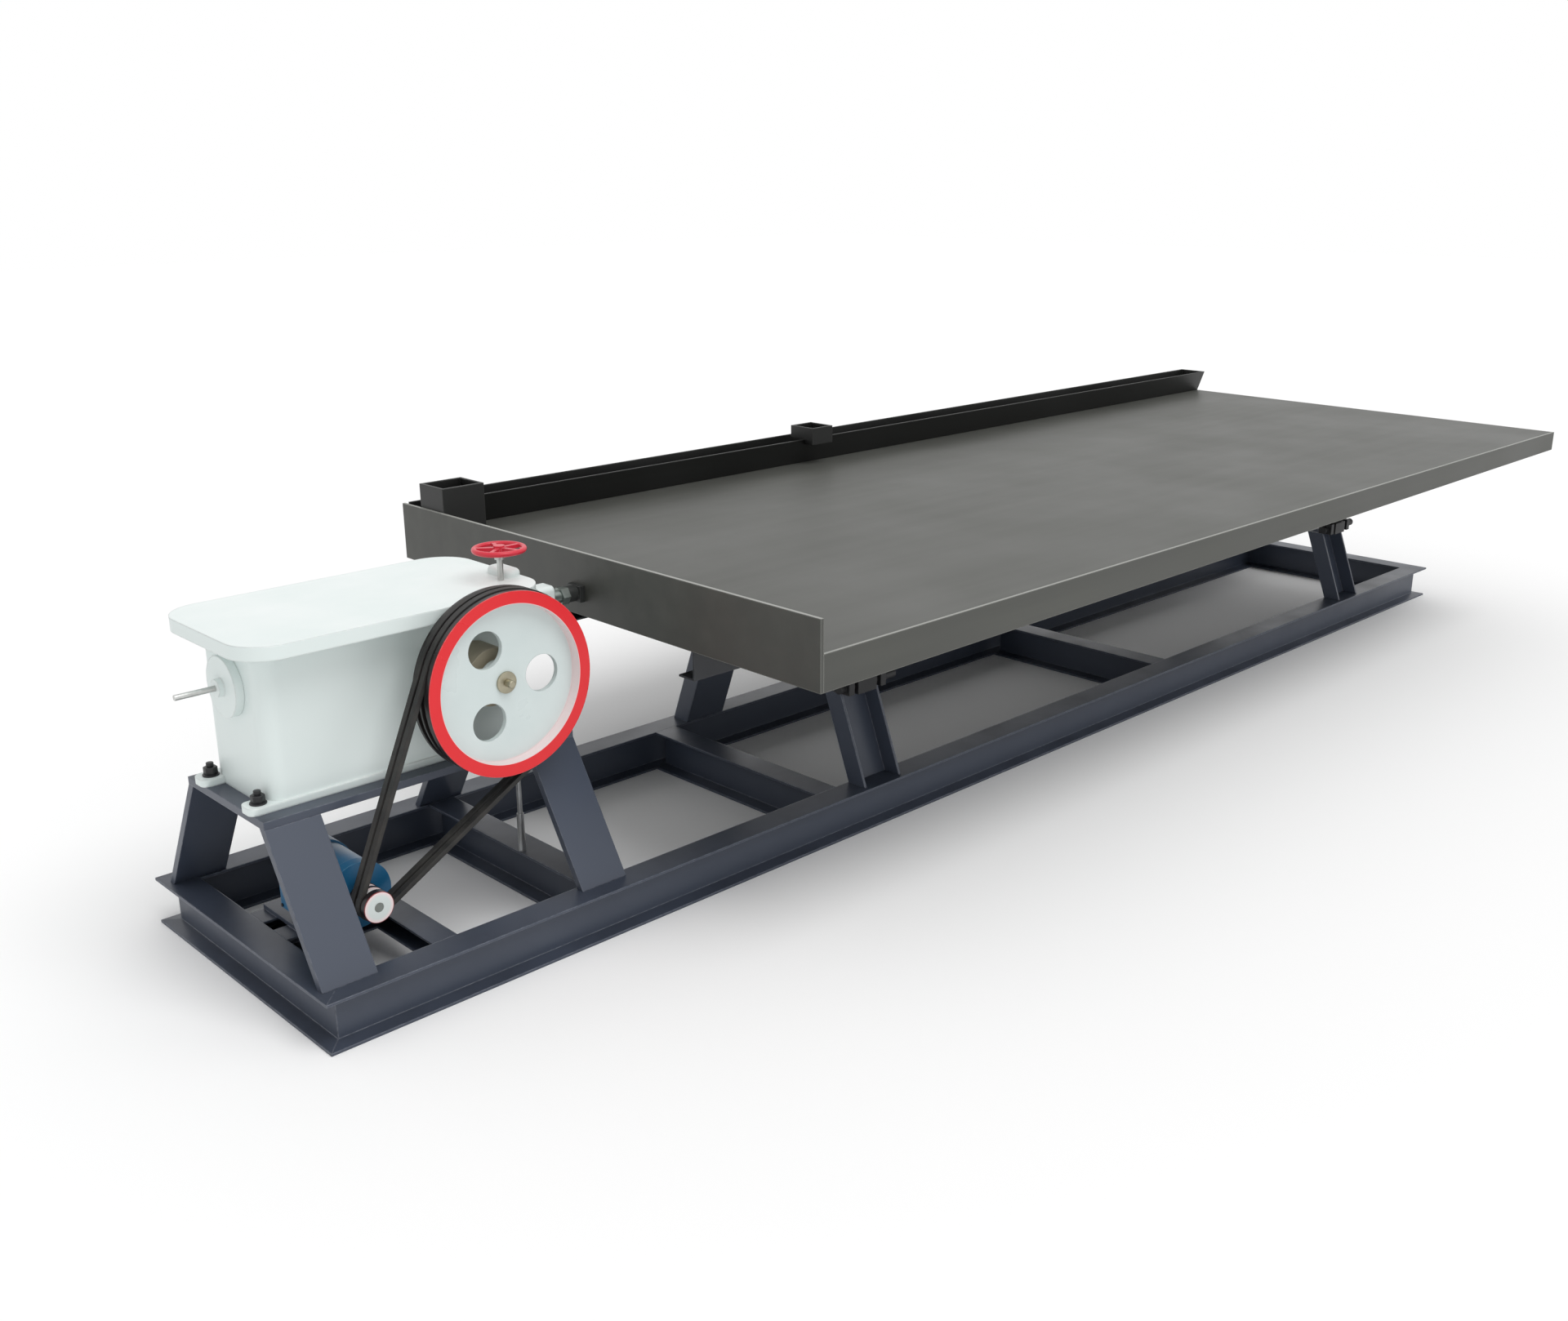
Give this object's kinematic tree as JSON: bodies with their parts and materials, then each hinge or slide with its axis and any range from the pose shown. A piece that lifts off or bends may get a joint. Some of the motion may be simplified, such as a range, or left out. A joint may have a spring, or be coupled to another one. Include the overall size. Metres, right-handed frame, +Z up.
{
  "type": "shaking table",
  "caption": "Gravity separation table: a long dark deck with a water launder on a beam frame, shaken lengthways by a belt-driven gearbox.",
  "frame": {"origin": "on the floor, under the middle of the overall box", "axes": "+X along the table from the drive end to the tail, +Y from the operator's side with the pulley to the launder side, +Z up"},
  "size_m": [5.627, 1.844, 0.995],
  "materials": {
    "frame_paint": "semi-gloss blue-grey paint on rolled steel",
    "gearbox_paint": "smooth white paint with a faint mint tint on cast iron",
    "bright_steel": "turned steel",
    "dark_steel": "black paint on steel",
    "housing_paint": "beige-grey paint on cast iron",
    "pulley_paint": "glossy red paint, with white webs",
    "motor_paint": "blue paint on cast iron",
    "belt_rubber": "matt black V-belts",
    "deck_plastic": "satin dark grey coating on a glass fibre deck",
    "underframe_paint": "dark grey paint on steel"
  },
  "bodies": {
    "base": {"back_rail": "frame_paint", "cross_beams": "frame_paint", "deck_support_back_head": "frame_paint", "deck_support_back_tail": "frame_paint", "deck_support_front_head": "frame_paint", "deck_support_front_tail": "frame_paint", "drive_belts": "belt_rubber", "front_rail": "frame_paint", "gearbox_body": "gearbox_paint", "gearbox_end_cover": "gearbox_paint", "gearbox_lid": "gearbox_paint", "left_end_rail": "frame_paint", "motor_body": "motor_paint", "motor_fan_cowl": "motor_paint", "motor_seat": "frame_paint", "pull_rod_guide": "gearbox_paint", "right_end_rail": "frame_paint", "shaft_bearing": "housing_paint", "slide_pins": "dark_steel", "spring_rod": "bright_steel", "stand_leg_back_left": "frame_paint", "stand_leg_back_right": "frame_paint", "stand_leg_front_left": "frame_paint", "stand_leg_front_right": "frame_paint", "stand_top": "frame_paint", "tie_rod": "bright_steel"},
    "deck_assembly": {"deck_panel": "deck_plastic", "head_board": "deck_plastic", "deck_skirt_front": "deck_plastic", "deck_skirt_back": "deck_plastic", "deck_skirt_tail": "deck_plastic", "deck_beams": "underframe_paint", "deck_ribs": "underframe_paint", "deck_feet": "dark_steel", "launder": "deck_plastic", "feed_box": "deck_plastic", "middle_box": "deck_plastic", "deck_bracket": "dark_steel", "pull_rod": "bright_steel"},
    "drive_pulley_assembly": {"drive_pulley": "pulley_paint", "drive_shaft": "bright_steel"},
    "motor_rotor": {"motor_pulley": "pulley_paint", "motor_shaft": "bright_steel"},
    "stroke_handwheel": {"handwheel": "pulley_paint", "handwheel_stem": "bright_steel"}
  },
  "joints": [
    {"name": "deck_stroke", "type": "slide", "parent": "base", "child": "deck_assembly", "axis": [1, 0, 0], "range_m": [-0.012, 0.012]},
    {"name": "drive_pulley_spin", "type": "hinge", "parent": "base", "child": "drive_pulley_assembly", "pos_m": [-2.1145, -0.2665, 0.702], "axis": [0, 1, 0], "continuous": true},
    {"name": "motor_pulley_spin", "type": "hinge", "parent": "base", "child": "motor_rotor", "pos_m": [-2.5245, -0.2665, 0.245], "axis": [0, 1, 0], "continuous": true},
    {"name": "handwheel_turn", "type": "hinge", "parent": "base", "child": "stroke_handwheel", "pos_m": [-1.9895, -0.09, 0.985], "axis": [0, 0, 1], "range_deg": [-720, 720]}
  ],
  "couplings": [
    {"joint": "motor_pulley_spin", "follows": "drive_pulley_spin", "ratio": 6.4444}
  ]
}
